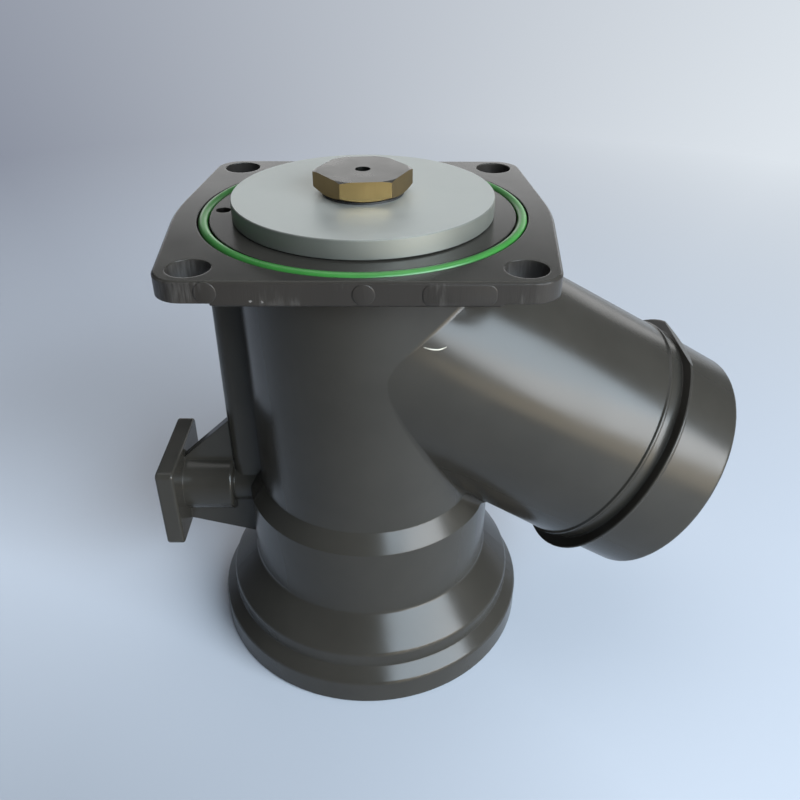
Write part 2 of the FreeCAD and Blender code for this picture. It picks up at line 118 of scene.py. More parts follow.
class MeshShop:
    """Mesh tools that every sub-assembly shares."""

    @staticmethod
    def profile(points: Sequence[tuple[float, float]],
                rounds: dict[int, float] | None = None,
                closed: bool = True, steps: int = 5) -> bmesh.types.BMesh:
        """Draws a profile in the XZ plane and rounds its corners.

        Args:
            points: corners as radius and height, in millimetres.
            rounds: corner number to the radius of its round.
            closed: whether the last corner joins the first.
            steps: segments in each round.

        Returns:
            A mesh that holds only the profile's edges.
        """
        bm = bmesh.new()
        verts = [bm.verts.new((r, 0.0, z)) for r, z in points]
        for a, b in zip(verts, verts[1:]):
            bm.edges.new((a, b))
        if closed:
            bm.edges.new((verts[-1], verts[0]))
        for number, radius in (rounds or {}).items():
            bmesh.ops.bevel(bm, geom=[verts[number]], offset=radius, segments=steps,
                            profile=0.5, affect="VERTICES", material=-1)
        return bm

    @staticmethod
    def turn(bm: bmesh.types.BMesh, segments: int) -> bmesh.types.BMesh:
        """Spins a profile once round the Z axis and points its faces outwards.

        Args:
            bm: the profile.
            segments: steps round the axis.

        Returns:
            The same mesh, now a closed skin.
        """
        bmesh.ops.spin(bm, geom=bm.verts[:] + bm.edges[:], cent=(0, 0, 0),
                       axis=(0, 0, 1), dvec=(0, 0, 0), angle=FULL_TURN,
                       steps=segments, use_merge=True, use_duplicate=False)
        return MeshShop.weld(bm)

    @staticmethod
    def weld(bm: bmesh.types.BMesh) -> bmesh.types.BMesh:
        """Merges a mesh's double points and turns its faces outwards.

        Args:
            bm: the mesh.

        Returns:
            The same mesh.
        """
        bmesh.ops.remove_doubles(bm, verts=bm.verts[:], dist=WELD)
        bmesh.ops.recalc_face_normals(bm, faces=bm.faces[:])
        return bm

    @staticmethod
    def screw(points: Sequence[tuple[float, float]], pitch: float, turns: float,
              segments: int = 40) -> bmesh.types.BMesh:
        """Winds a closed profile up the Z axis into a thread or a coil.

        Args:
            points: corners as radius and height, in millimetres.
            pitch: rise of one turn.
            turns: how many turns.
            segments: steps in one turn.

        Returns:
            A closed mesh with flat ends.
        """
        bm = MeshShop.profile(points)
        start = bm.edges[:]
        steps = round(segments * turns)
        wound = bmesh.ops.spin(bm, geom=bm.verts[:] + start, cent=(0, 0, 0),
                               axis=(0, 0, 1), dvec=(0, 0, pitch / segments),
                               angle=FULL_TURN * turns, steps=steps,
                               use_duplicate=False)
        end = [e for e in wound["geom_last"] if isinstance(e, bmesh.types.BMEdge)]
        bmesh.ops.holes_fill(bm, edges=start, sides=0)
        bmesh.ops.holes_fill(bm, edges=end, sides=0)
        bmesh.ops.recalc_face_normals(bm, faces=bm.faces[:])
        return bm

    @staticmethod
    def finish(bm: bmesh.types.BMesh, name: str, sharp: float = 35.0,
               placed: Optional[Matrix] = None) -> bpy.types.Object:
        """Turns a mesh in millimetres into an object at the origin.

        Args:
            bm: the mesh, which is used up.
            name: the piece's name.
            sharp: edges that turn by more than this many degrees stay crisp.
            placed: a move or turn for the mesh, in millimetres.

        Returns:
            The new object.
        """
        if placed is not None:
            bmesh.ops.transform(bm, matrix=placed, verts=bm.verts[:])
        bmesh.ops.scale(bm, vec=(MM, MM, MM), verts=bm.verts[:])
        mesh = bpy.data.meshes.new(name)
        bm.to_mesh(mesh)
        bm.free()
        mesh.shade_smooth()
        mesh.set_sharp_from_angle(angle=math.radians(sharp))
        return add_object(name, mesh)

    @staticmethod
    def cut(piece: bpy.types.Object, tool: bpy.types.Object, kind: Cut) -> None:
        """Cuts a piece with a tool.

        Args:
            piece: the piece to change.
            tool: the other shape, removed afterwards.
            kind: what is left.
        """
        step = piece.modifiers.new("cut", "BOOLEAN")
        step.operation, step.solver, step.object = kind.value, "EXACT", tool
        MeshShop.apply(piece)
        bpy.data.objects.remove(tool)

    @staticmethod
    def apply(piece: bpy.types.Object) -> None:
        """Makes a piece's modifiers part of its mesh.

        Args:
            piece: the piece to change.
        """
        bpy.context.view_layer.update()
        seen = piece.evaluated_get(bpy.context.evaluated_depsgraph_get())
        mesh = bpy.data.meshes.new_from_object(seen)
        piece.modifiers.clear()
        piece.data = mesh

    @staticmethod
    def ease_edges(piece: bpy.types.Object, width: float, sharp: float,
                   crisp: float, segments: int = 2) -> None:
        """Breaks a piece's crisp edges with a small round.

        Args:
            piece: the piece to change.
            width: the round's width in millimetres.
            sharp: edges that turn by more than this many degrees are broken.
            crisp: edges of the result that turn by more than this stay crisp.
            segments: steps in the round.
        """
        step = piece.modifiers.new("ease", "BEVEL")
        step.width, step.segments = width * MM, segments
        step.limit_method, step.angle_limit = "ANGLE", math.radians(sharp)
        step.harden_normals = False
        MeshShop.apply(piece)
        piece.data.shade_smooth()
        piece.data.set_sharp_from_angle(angle=math.radians(crisp))


class NodeDesk:
    """Writes nodes into one material or one node group."""

    def __init__(self, tree: bpy.types.NodeTree) -> None:
        """Keeps the tree that the nodes go into."""
        self.tree = tree

    def feed(self, node: bpy.types.Node, inputs: dict) -> bpy.types.Node:
        """Sets or links a node's sockets.

        Args:
            node: the node.
            inputs: socket name or number to a value, or to the output it takes.

        Returns:
            The same node.
        """
        for key, value in inputs.items():
            if isinstance(value, bpy.types.NodeSocket):
                self.tree.links.new(value, node.inputs[key])
            else:
                node.inputs[key].default_value = value
        return node

    def node(self, kind: str, inputs: dict | None = None,
             **settings: object) -> bpy.types.Node:
        """Adds a node.

        Args:
            kind: the node's type without its ShaderNode start.
            inputs: socket name or number to a value, or to the output it takes.
            **settings: properties of the node.

        Returns:
            The new node.
        """
        made = self.tree.nodes.new("ShaderNode" + kind)
        for key, value in settings.items():
            setattr(made, key, value)
        return self.feed(made, inputs or {})

    def place(self) -> bpy.types.NodeSocket:
        """Gives the surface's place in the valve's own frame."""
        return self.node("TexCoord").outputs["Object"]

    def parts(self, vector: bpy.types.NodeSocket) -> Sequence[bpy.types.NodeSocket]:
        """Splits a vector into its three numbers."""
        return self.node("SeparateXYZ", {0: vector}).outputs

    def calc(self, kind: str, *values: object) -> bpy.types.NodeSocket:
        """Adds one Math node and gives its output."""
        return self.node("Math", dict(enumerate(values)), operation=kind).outputs[0]

    def vector(self, kind: str, *values: object) -> bpy.types.Node:
        """Adds one Vector Math node."""
        return self.node("VectorMath", dict(enumerate(values)), operation=kind)

    def noise(self, where: bpy.types.NodeSocket, scale: object, detail: float = 3.0,
              rough: float = 0.5) -> bpy.types.NodeSocket:
        """Adds a noise texture and gives its value.

        Args:
            where: the place that it is read at.
            scale: how fine it is.
            detail: how many finer layers it has.
            rough: how strong they are.

        Returns:
            The value's socket.
        """
        made = self.node("TexNoise", {"Vector": where, "Scale": scale,
                                      "Detail": detail, "Roughness": rough})
        return made.outputs[0]

    def span(self, value: bpy.types.NodeSocket, low: float, high: float,
             to_low: float = 0.0, to_high: float = 1.0) -> bpy.types.NodeSocket:
        """Maps a value from one span to another, held at both ends.

        Args:
            value: the value.
            low: its lower end.
            high: its upper end.
            to_low: what the lower end becomes.
            to_high: what the upper end becomes.

        Returns:
            The result's socket.
        """
        made = self.node("MapRange", {"Value": value, "From Min": low,
                                      "From Max": high, "To Min": to_low,
                                      "To Max": to_high})
        return made.outputs[0]

    def blend(self, mask: bpy.types.NodeSocket, one: object,
              two: object) -> bpy.types.NodeSocket:
        """Mixes two colours by a mask.

        Args:
            mask: 0 for the first colour, 1 for the second.
            one: the first colour.
            two: the second colour.

        Returns:
            The colour's socket.
        """
        one, two = ((*c, 1.0) if isinstance(c, tuple) else c for c in (one, two))
        made = self.node("Mix", data_type="RGBA")
        return self.feed(made, {0: mask, 6: one, 7: two}).outputs[2]

    def bump(self, height: bpy.types.NodeSocket, depth: float,
             base: Optional[bpy.types.NodeSocket] = None) -> bpy.types.NodeSocket:
        """Adds a bump node.

        Args:
            height: the relief, from 0 to 1.
            depth: how deep the relief is, in millimetres.
            base: the normal that the relief lies on.

        Returns:
            The bumped normal.
        """
        made = self.node("Bump", {"Height": height, "Distance": depth * MM})
        if base is not None:
            self.feed(made, {"Normal": base})
        return made.outputs[0]


def colour(red: int, green: int, blue: int) -> tuple[float, float, float]:
    """Turns a colour as a screen shows it into linear light.

    Args:
        red: the red channel, 0 to 255.
        green: the green one.
        blue: the blue one.

    Returns:
        The three channels, 0 to 1.
    """
    def linear(c: int) -> float:
        """Undoes the screen curve of one channel."""
        c /= 255.0
        return c / 12.92 if c <= 0.04045 else ((c + 0.055) / 1.055) ** 2.4
    return linear(red), linear(green), linear(blue)


class Effects:
    """Node groups that several finishes use, each made once."""

    @staticmethod
    def _open(name: str, inputs: dict[str, float],
              *outputs: str) -> tuple[NodeDesk, Sequence[bpy.types.NodeSocket]]:
        """Starts a node group with named sockets.

        Args:
            name: the group's name.
            inputs: each input's name and its value.
            *outputs: the outputs' names.

        Returns:
            A desk for the group's nodes, and the sockets of its inputs.
        """
        group = bpy.data.node_groups.new(name, "ShaderNodeTree")
        for label in (*inputs, *outputs):
            socket = group.interface.new_socket(
                name=label, in_out="INPUT" if label in inputs else "OUTPUT",
                socket_type="NodeSocketFloat")
            if label in inputs:
                socket.default_value = inputs[label]
        return NodeDesk(group), group.nodes.new("NodeGroupInput").outputs

    @staticmethod
    def _close(desk: NodeDesk, *values: bpy.types.NodeSocket) -> bpy.types.NodeTree:
        """Feeds a group's outputs in their order and gives the group."""
        desk.feed(desk.tree.nodes.new("NodeGroupOutput"), dict(enumerate(values)))
        return desk.tree

    @staticmethod
    @cache
    def paint_skin() -> bpy.types.NodeTree:
        """Height and mottle of sprayed paint over a cast skin.

        Returns:
            The group.
        """
        desk, given = Effects._open("paint_skin", {
            "Peel Scale": 300.0, "Sand Scale": 1100.0, "Sand": 0.35},
            "Height", "Mottle")
        where = desk.place()
        peel = desk.noise(where, given["Peel Scale"], 2.0, 0.45)
        sand = desk.noise(where, given["Sand Scale"], 3.0, 0.6)
        height = desk.calc("ADD", peel, desk.calc("MULTIPLY", sand, given["Sand"]))
        return Effects._close(desk, height, desk.noise(where, 38.0, 4.0, 0.55))

    @staticmethod
    @cache
    def upright_marks() -> bpy.types.NodeTree:
        """Upright streaks between two heights, which come and go along a face.

        Returns:
            The group.
        """
        desk, given = Effects._open("upright_marks", {
            "Foot": -0.0088, "Top": -0.0004, "Fineness": 620.0, "Patch Scale": 45.0},
            "Height", "Mask")
        where = desk.place()
        level = desk.parts(where)[2]
        mask = desk.calc("MULTIPLY", desk.calc("GREATER_THAN", level, given["Foot"]),
                         desk.calc("LESS_THAN", level, given["Top"]))
        drawn = desk.vector("MULTIPLY", where, (1.0, 1.0, 0.12)).outputs[0]
        streaks = desk.noise(drawn, given["Fineness"], 4.0, 0.65)
        patch = desk.noise(where, given["Patch Scale"], 1.0)
        strength = desk.calc("MULTIPLY", mask, desk.span(patch, 0.32, 0.6))
        return Effects._close(desk, desk.calc("MULTIPLY", streaks, strength), mask)

    @staticmethod
    @cache
    def chips() -> bpy.types.NodeTree:
        """Small chips in the paint: the mask is 1 where metal shows.

        Returns:
            The group.
        """
        desk, given = Effects._open("chips", {"Size": 0.0006, "Raggedness": 0.0008},
                                    "Mask")
        ragged = desk.node("TexNoise", {"Vector": desk.place(), "Scale": 1500.0})
        strength = desk.node("CombineXYZ", {n: given["Raggedness"] for n in range(3)})
        where = desk.vector("MULTIPLY_ADD", ragged.outputs["Color"],
                            strength.outputs[0], desk.place()).outputs[0]
        mask = None
        for spot in PAINT_CHIPS:
            away = desk.vector("DISTANCE", where, spot).outputs["Value"]
            hit = desk.calc("LESS_THAN", away, given["Size"])
            mask = hit if mask is None else desk.calc("MAXIMUM", mask, hit)
        return Effects._close(desk, mask)

    @staticmethod
    @cache
    def turning() -> bpy.types.NodeTree:
        """Fine rings that a lathe tool leaves round the Z axis.

        Returns:
            The group.
        """
        desk, given = Effects._open("turning", {"Rings": 900.0}, "Height")
        x, y, z = desk.parts(desk.place())
        flat = desk.node("CombineXYZ", {0: x, 1: y}).outputs[0]
        radius = desk.vector("LENGTH", flat).outputs["Value"]
        line = desk.node("CombineXYZ", {
            0: desk.calc("MULTIPLY", radius, given["Rings"]),
            1: desk.calc("MULTIPLY", z, given["Rings"])}).outputs[0]
        return Effects._close(desk, desk.noise(line, 1.0, 2.0, 0.6))

    @staticmethod
    @cache
    def inner_walls() -> bpy.types.NodeTree:
        """Mask of the machined bores: the duct, the cylinder and the branch.

        Returns:
            The group.
        """
        desk, given = Effects._open("inner_walls", {
            "Duct Radius": 0.0443, "Cylinder Radius": 0.0503, "Cylinder Top": -0.128,
            "Cover Radius": 0.0623, "Cover Top": -0.1895, "Branch Radius": 0.0463,
            "Branch Height": -0.0422, "Branch Sine": 0.5,
            "Branch Cosine": 0.8660254}, "Mask")
        x, y, z = desk.parts(desk.place())
        across = desk.calc("MULTIPLY", y, y)
        rise = desk.calc("SUBTRACT", z, given["Branch Height"])
        side = desk.calc("ADD", desk.calc("MULTIPLY", x, given["Branch Sine"]),
                         desk.calc("MULTIPLY", rise, given["Branch Cosine"]))
        radius, reach = (
            desk.calc("SQRT", desk.calc("ADD", desk.calc("MULTIPLY", v, v), across))
            for v in (x, side))
        mask = desk.calc("MULTIPLY",
                         desk.calc("LESS_THAN", reach, given["Branch Radius"]),
                         desk.calc("GREATER_THAN", x, 0.0))
        duct = desk.calc("LESS_THAN", radius, given["Duct Radius"])
        mask = desk.calc("MAXIMUM", mask, duct)
        for room in ("Cylinder", "Cover"):
            below = desk.calc("LESS_THAN", z, given[f"{room} Top"])
            within = desk.calc("LESS_THAN", radius, given[f"{room} Radius"])
            mask = desk.calc("MAXIMUM", mask, desk.calc("MULTIPLY", within, below))
        return Effects._close(desk, mask)


@dataclass(frozen=True)
class Finish:
    """What every finish says.

    Attributes:
        name: the material's name.
        slot: the slot in the record; nothing here reads it.
        tint: the colour in linear light.
        roughness: how dull it is.
        tone_swing: the darkest and the lightest share of the tint.
        gloss_swing: how far the roughness wanders down and up.
    """

    name: str
    slot: str
    tint: Triple
    roughness: float = 0.4
    tone_swing: Pair = (1.0, 1.0)
    gloss_swing: Pair = (0.0, 0.0)

    def _start(self) -> tuple[bpy.types.Material, NodeDesk, bpy.types.Node]:
        """Makes the material and its shader.

        Returns:
            The material, a desk for its nodes, and its Principled shader.
        """
        made = bpy.data.materials.new(self.name)
        made.use_nodes = True
        shader = made.node_tree.nodes["Principled BSDF"]
        shader.inputs["Base Color"].default_value = (*self.tint, 1.0)
        shader.inputs["Roughness"].default_value = self.roughness
        return made, NodeDesk(made.node_tree), shader

    def material(self) -> bpy.types.Material:
        """Gives the finish's material, made once."""
        return bpy.data.materials.get(self.name) or self._mix()

    def _uneven(self, desk: NodeDesk, cloud: bpy.types.NodeSocket
                ) -> tuple[bpy.types.NodeSocket, bpy.types.NodeSocket]:
        """Lets the colour and the gloss wander over the surface.

        Args:
            desk: the material's desk.
            cloud: the noise that they follow.

        Returns:
            The sockets of the colour and of the roughness.
        """
        dark, light = (tuple(k * c for c in self.tint) for k in self.tone_swing)
        low, high = (self.roughness + k for k in self.gloss_swing)
        return (desk.blend(desk.span(cloud, *NOISE_SPAN), dark, light),
                desk.span(cloud, *NOISE_SPAN, low, high))

    def _mix(self) -> bpy.types.Material:
        """Makes the material."""
        raise NotImplementedError

    def dress(self, piece: bpy.types.Object) -> None:
        """Puts the finish on a piece.

        Args:
            piece: the piece to dress.
        """
        mesh = piece.data
        mesh.materials.clear()
        mesh.materials.append(self.material())


@dataclass(frozen=True)
class CastPaint(Finish):
    """Satin paint over a casting, with bare machined bores."""

    tone_swing: Pair = (0.92, 1.08)
    gloss_swing: Pair = (-0.03, 0.04)
    peel_depth: float = 0.012
    sand: float = 0.55
    edge_radius: float = 0.6
    edge_samples: int = 6
    ior: float = 1.36
    streak_depth: float = 0.15
    trimmed: Triple = (0.022, 0.018, 0.016)
    trimmed_share: float = 0.6
    trimmed_dulling: float = 0.1
    rubbed_from: float = 0.42
    rubbed_to: float = 0.7
    rubbed_share: float = 0.2
    chip: Triple = (0.21, 0.20, 0.19)
    chip_share: float = 0.8
    bare: Triple = (0.42, 0.42, 0.42)
    bare_metallic: float = 0.9
    bare_dulling: float = 0.2

    def _mix(self) -> bpy.types.Material:
        """Makes the paint: peel, mottling, trim streaks, chips and bare bores.

        Returns:
            The material.
        """
        made, desk, shader = self._start()
        skin = desk.node("Group", {"Sand": self.sand},
                         node_tree=Effects.paint_skin()).outputs
        streaks = desk.node("Group", node_tree=Effects.upright_marks()).outputs
        chips = desk.node("Group", node_tree=Effects.chips()).outputs["Mask"]
        bores = desk.node("Group", node_tree=Effects.inner_walls()).outputs["Mask"]
        tone, gloss = self._uneven(desk, skin["Mottle"])
        rubbed = desk.span(streaks["Height"], self.rubbed_from, self.rubbed_to, 0.0,
                           self.rubbed_share)
        for mask, over in (
                (desk.calc("MULTIPLY", streaks["Mask"], self.trimmed_share),
                 self.trimmed),
                (rubbed, self.chip),
                (desk.calc("MULTIPLY", chips, self.chip_share), self.chip),
                (bores, self.bare)):
            tone = desk.blend(mask, tone, over)
        for mask, dulling in ((streaks["Mask"], self.trimmed_dulling),
                              (bores, self.bare_dulling)):
            gloss = desk.calc("ADD", gloss, desk.calc("MULTIPLY", mask, dulling))
        eased = desk.node("Bevel", {"Radius": self.edge_radius * MM},
                          samples=self.edge_samples)
        peel = desk.bump(skin["Height"], self.peel_depth, base=eased.outputs[0])
        desk.feed(shader, {
            "IOR": self.ior, "Base Color": tone, "Roughness": gloss,
            "Metallic": desk.calc("MULTIPLY", bores, self.bare_metallic),
            "Normal": desk.bump(streaks["Height"], self.streak_depth, base=peel)})
        return made


@dataclass(frozen=True)
class Metal(Finish):
    """Bare or plated metal, plain or turned on a lathe."""

    tone_swing: Pair = (0.95, 1.0)
    gloss_swing: Pair = (-0.05, 0.05)
    metallic: float = 1.0
    mark: Mark = Mark.PLAIN
    depth: float = 0.002
    cloud_scale: float = 60.0
    grain_scale: float = 1600.0
    # Painted light on faces that look up: lighter on the disc's top, a darker neutral
    # grey on the nut's top.
    painted_top_light: Optional[Triple] = None
    end_level: float = 0.8
    side_fineness: float = 420.0
    side_patches: float = 140.0
    side_share: float = 0.35
    side_gain: float = 1.35
    bore_r: float = 0.0
    # Painted shade: the colour of a centre hole within bore_r, near black.
    painted_hole_shade: Triple = (0.004, 0.004, 0.003)

    def _mix(self) -> bpy.types.Material:
        """Makes the metal with its tool marks, a slightly uneven gloss, painted light
        on faces that look up and painted shade in a hole.

        Returns:
            The material.
        """
        made, desk, shader = self._start()
        where = desk.place()
        tone, gloss = self._uneven(desk, desk.noise(where, self.cloud_scale, 4.0))
        metallic = self.metallic
        if self.mark is Mark.PLAIN:
            height = desk.noise(where, self.grain_scale, 2.0)
        else:
            height = desk.node("Group", node_tree=Effects.turning()).outputs["Height"]
        facing = desk.node("NewGeometry").outputs["True Normal"]
        ends = desk.calc("GREATER_THAN", desk.parts(facing)[2], self.end_level)
        if self.mark is Mark.DRAWN:
            marks = desk.node("Group", {
                "Foot": -1.0, "Top": 1.0, "Fineness": self.side_fineness,
                "Patch Scale": self.side_patches}, node_tree=Effects.upright_marks())
            streaks = desk.calc("MULTIPLY", marks.outputs["Height"],
                                desk.calc("SUBTRACT", 1.0, ends))
            tone = desk.blend(desk.span(streaks, 0.2, 0.8, 0.0, self.side_share), tone,
                              tuple(self.side_gain * c for c in self.tint))
            height = desk.calc("ADD", desk.calc("MULTIPLY", height, ends), streaks)
        # Faces that look up take a painted tone for the light they catch and reflect.
        if self.painted_top_light is not None:
            tone = desk.blend(ends, tone, self.painted_top_light)
        # Painted shade: the hole is coloured near black and loses its metal shine.
        if self.bore_r:
            bore = desk.node("Group", node_tree=Effects.inner_walls())
            desk.feed(bore, {socket.name: 0.0 for socket in bore.inputs}
                      | {"Duct Radius": self.bore_r * MM})
            painted_hole_mask = bore.outputs["Mask"]
            tone = desk.blend(painted_hole_mask, tone, self.painted_hole_shade)
            metallic = desk.calc("MULTIPLY", desk.calc("SUBTRACT", 1.0, painted_hole_mask),
                                 metallic)
        desk.feed(shader, {"Base Color": tone, "Roughness": gloss,
                           "Metallic": metallic,
                           "Normal": desk.bump(height, self.depth)})
        return made


@dataclass(frozen=True)
class Rubber(Finish):
    """Moulded rubber or plastic with a fine dull grain."""

    tone_swing: Pair = (0.88, 1.08)
    gloss_swing: Pair = (-0.06, 0.06)
    cloud_scale: float = 90.0
    grain_scale: float = 1400.0
    depth: float = 0.006

    def _mix(self) -> bpy.types.Material:
        """Makes the rubber: fine grain and uneven sheen.

        Returns:
            The material.
        """
        made, desk, shader = self._start()
        where = desk.place()
        tone, gloss = self._uneven(desk, desk.noise(where, self.cloud_scale, 4.0))
        grain = desk.noise(where, self.grain_scale)
        desk.feed(shader, {"Base Color": tone, "Roughness": gloss,
                           "Normal": desk.bump(grain, self.depth)})
        return made


PAINT = CastPaint("taupe_paint", "casting", colour(52, 50, 46), 0.22)
# Pale rubbed metal on the crease ledge, which also serves as a painted highlight.
LEDGE_WEAR_AND_HIGHLIGHT = Metal("rubbed_ridge_and_highlight", "casting", colour(176, 172, 160), 0.45, metallic=0.5)
GREEN_RUBBER = Rubber("green_ring_rubber", "green_rubber", colour(52, 118, 50), 0.33)
BLACK_RUBBER = Rubber("black_seal_rubber", "black_rubber", colour(26, 26, 28), 0.5)
BRONZE = Metal("bush_bronze", "bronze", colour(186, 140, 92), 0.35,
               mark=Mark.TURNED)
PLATED = Metal("bright_plating", "plated_steel", colour(176, 178, 180), 0.36,
               mark=Mark.TURNED)
# The disc's top is painted lighter than its side, for the light it catches.
DISC_STEEL = Metal("disc_satin_steel", "disc_steel", colour(142, 144, 138), 0.5,
                   metallic=0.8, mark=Mark.TURNED,
                   painted_top_light=colour(196, 200, 196))
# The nut's top is painted a darker neutral grey, for what it reflects.
ZINC = Metal("passivated_zinc", "yellow_zinc", colour(144, 121, 80), 0.3,
             mark=Mark.DRAWN, painted_top_light=colour(108, 107, 104), bore_r=2.98)
SPRING = Metal("spring_wire", "spring_steel", colour(120, 120, 122), 0.4)
ALUMINIUM = Metal("turned_aluminium", "machined_aluminium", colour(190, 192, 195),
                  0.33, mark=Mark.TURNED)
GUIDE_BAND = Rubber("wear_band", "guide_plastic", colour(60, 56, 50), 0.45)


@dataclass
class Housing:
    """The casting and what is fixed to it; sizes in millimetres."""

    ring_mean_r: float = 60.7
    ring_sides: int = 32
    ring_section_r: float = 1.78
    ring_groove_depth: float = 2.7
    flange_front: float = -66.2
    pin_mark_r: float = 3.75
    pin_mark_rise: float = 0.22
    pin_marks: tuple[Pair, ...] = ((-48.4, -3.85), (2.2, -4.5))
    pad_middle: Pair = (33.0, -4.6)
    pad_half: Pair = (12.0, 3.7)
    pad_rise: float = 0.16
    pad_round: float = 0.8
    mark_depth: float = 2.0
    ledge_run: tuple[Triple, ...] = (
        (22.4, -46.9, -34.1), (24.6, -46.75, -34.95), (27.0, -46.45, -35.4),
        (28.9, -46.0, -35.35), (30.8, -45.3, -34.85))
    ledge_r: float = 0.42
    ledge_proud: float = 0.28
    ledge_out: Triple = (0.19, -0.91, 0.36)
    ledge_end: float = 0.25
    port_face: float = -93.3
    port_height: float = -131.7
    port_bore_r: float = 5.0
    port_pitch: float = 1.34
    port_turns: int = 8
    tapped_r: float = 2.5
    tapped_pitch: float = 1.0
    tapped_turns: int = 5
    tapped_y: float = 17.5
    thread_depth: float = 0.32
    thread_root: float = 0.42
    thread_crest: float = 0.08
    thread_start: float = 0.6
    thread_sink: float = 0.1
    spring_mean_r: float = 24.0
    spring_wire_r: float = 1.38
    spring_turns: float = 4.5
    spring_sides: int = 16
    spring_steps: int = 64
    spring_seat: float = -132.0
    spring_travel: float = 18.05

    def dress_solids(self) -> None:
        """Gives the solids their finishes."""
        for node, finish in (
                ("valve_housing", PAINT), ("stem_bush_upper", BRONZE),
                ("stem_bush_lower", BRONZE), ("stem_seal", BLACK_RUBBER),
                ("lift_stop_ring", BLACK_RUBBER), ("bottom_cover", PLATED),
                ("cover_o_ring", BLACK_RUBBER), ("cover_retaining_ring", SPRING),
                ("breather_plug", BRONZE), ("closing_spring", SPRING)):
            finish.dress(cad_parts[node])

    def flange_ring(self) -> bpy.types.Object:
        """Builds the green ring that lies in the flange's groove.

        Returns:
            The ring.
        """
        bm = bmesh.new()
        bmesh.ops.create_circle(bm, cap_ends=False, segments=self.ring_sides,
                                radius=self.ring_section_r)
        seat = self.ring_section_r - self.ring_groove_depth
        stand = Matrix.Translation((self.ring_mean_r, 0, seat)) @ \
            Matrix.Rotation(QUARTER_TURN, 4, "X")
        bmesh.ops.transform(bm, matrix=stand, verts=bm.verts[:])
        MeshShop.turn(bm, FINE_STEPS)
        piece = MeshShop.finish(bm, "flange_ring")
        GREEN_RUBBER.dress(piece)
        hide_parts("flange_o_ring")
        return piece

    def pin_mark(self, number: int, middle: tuple[float, float]) -> bpy.types.Object:
        """Builds the faint round that a mould pin left on the flange's edge.

        Args:
            number: the mark's number, for its name.
            middle: its place along the edge and its height.

        Returns:
            The raised round.
        """
        x, z = middle
        bm = bmesh.new()
        bmesh.ops.create_cone(bm, cap_ends=True, cap_tris=False, segments=72,
                              radius1=self.pin_mark_r, radius2=self.pin_mark_r,
                              depth=self.mark_depth)
        rims = [e for e in bm.edges if len(e.link_faces) == 2 and
                any(len(f.verts) > 4 for f in e.link_faces)]
        bmesh.ops.bevel(bm, geom=rims, offset=self.pin_mark_rise, segments=3,
                        profile=0.5, affect="EDGES", material=-1)
        sunk = self.flange_front + self.mark_depth / 2 - self.pin_mark_rise
        stand = Matrix.Translation((x, sunk, z)) @ \
            Matrix.Rotation(QUARTER_TURN, 4, "X")
        piece = MeshShop.finish(bm, f"pin_mark_{number}", placed=stand)
        PAINT.dress(piece)
        return piece

    def insert_pad(self) -> bpy.types.Object:
        """Builds the faint rounded pad that a mould insert left on the edge.

        Returns:
            The pad.
        """
        (x, z), (half_x, half_z) = self.pad_middle, self.pad_half
        half_y = self.mark_depth / 2
        bm = bmesh.new()
        bmesh.ops.create_cube(bm, size=2.0)
        ends = [e for e in bm.edges if e.verts[0].co.y != e.verts[1].co.y]
        bmesh.ops.scale(bm, vec=(half_x, half_y, half_z), verts=bm.verts[:])
        bmesh.ops.bevel(bm, geom=ends, offset=half_z * self.pad_round, segments=8,
                        profile=0.5, affect="EDGES", material=-1)
        front = [e for e in bm.edges if max(v.co.y for v in e.verts) < 0]
        bmesh.ops.bevel(bm, geom=front, offset=self.pad_rise, segments=3, profile=0.5,
                        affect="EDGES", material=-1)
        place = Matrix.Translation((x, self.flange_front + half_y - self.pad_rise, z))
        piece = MeshShop.finish(bm, "insert_pad", placed=place)
        PAINT.dress(piece)
        return piece

    def crease_ledge(self) -> bpy.types.Object:
        """Builds the short ledge of flash where two mould parts met at the crease; its
        pale colour is rubbed bare metal and a painted highlight.

        Returns:
            The ledge.
        """
        points = [Vector(p) + self.ledge_proud * Vector(self.ledge_out)
                  for p in self.ledge_run]
        curve = bpy.data.curves.new("ledge_run", "CURVE")
        curve.dimensions = "3D"
        spline = curve.splines.new("NURBS")
        spline.points.add(len(points) - 1)
        for spot, point in zip(spline.points, points):
            spot.co = (*point, 1.0)
        for end in (spline.points[0], spline.points[-1]):
            end.radius = self.ledge_end
        spline.order_u = 3
        spline.use_endpoint_u = True
        spline.resolution_u = 8
        curve.bevel_depth = self.ledge_r
        curve.bevel_resolution = 4
        curve.use_fill_caps = True
        path = bpy.data.objects.new("ledge_run", curve)
        bm = bmesh.new()
        bm.from_mesh(bpy.data.meshes.new_from_object(path))
        bpy.data.objects.remove(path)
        piece = MeshShop.finish(MeshShop.weld(bm), "crease_ledge")
        LEDGE_WEAR_AND_HIGHLIGHT.dress(piece)
        return piece

    def return_spring(self) -> bpy.types.Object:
        """Builds the coil with ground ends, which the piston presses together.

        Returns:
            The spring.
        """
        low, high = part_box("closing_spring")
        foot, top = low.z / MM, high.z / MM
        around = [FULL_TURN * side / self.spring_sides
                  for side in range(self.spring_sides)]
        bm = MeshShop.screw(
            [(self.spring_mean_r + self.spring_wire_r * math.cos(a),
              foot + self.spring_wire_r * math.sin(a)) for a in around],
            (top - foot) / self.spring_turns, self.spring_turns, self.spring_steps)
        piece = MeshShop.finish(bm, "return_spring")
        reach = self.spring_mean_r + 2 * self.spring_wire_r
        ends = MeshShop.turn(MeshShop.profile(
            [(0, foot), (reach, foot), (reach, top), (0, top)], closed=False), 96)
        MeshShop.cut(piece, MeshShop.finish(ends, "grinding_tool"), Cut.COMMON)
        SPRING.dress(piece)
        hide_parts("closing_spring")
        return piece

    def press_spring(self, piece: bpy.types.Object) -> None:
        """Gives the spring its own copy of its mesh.

        Args:
            piece: the spring.
        """
        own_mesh(piece)

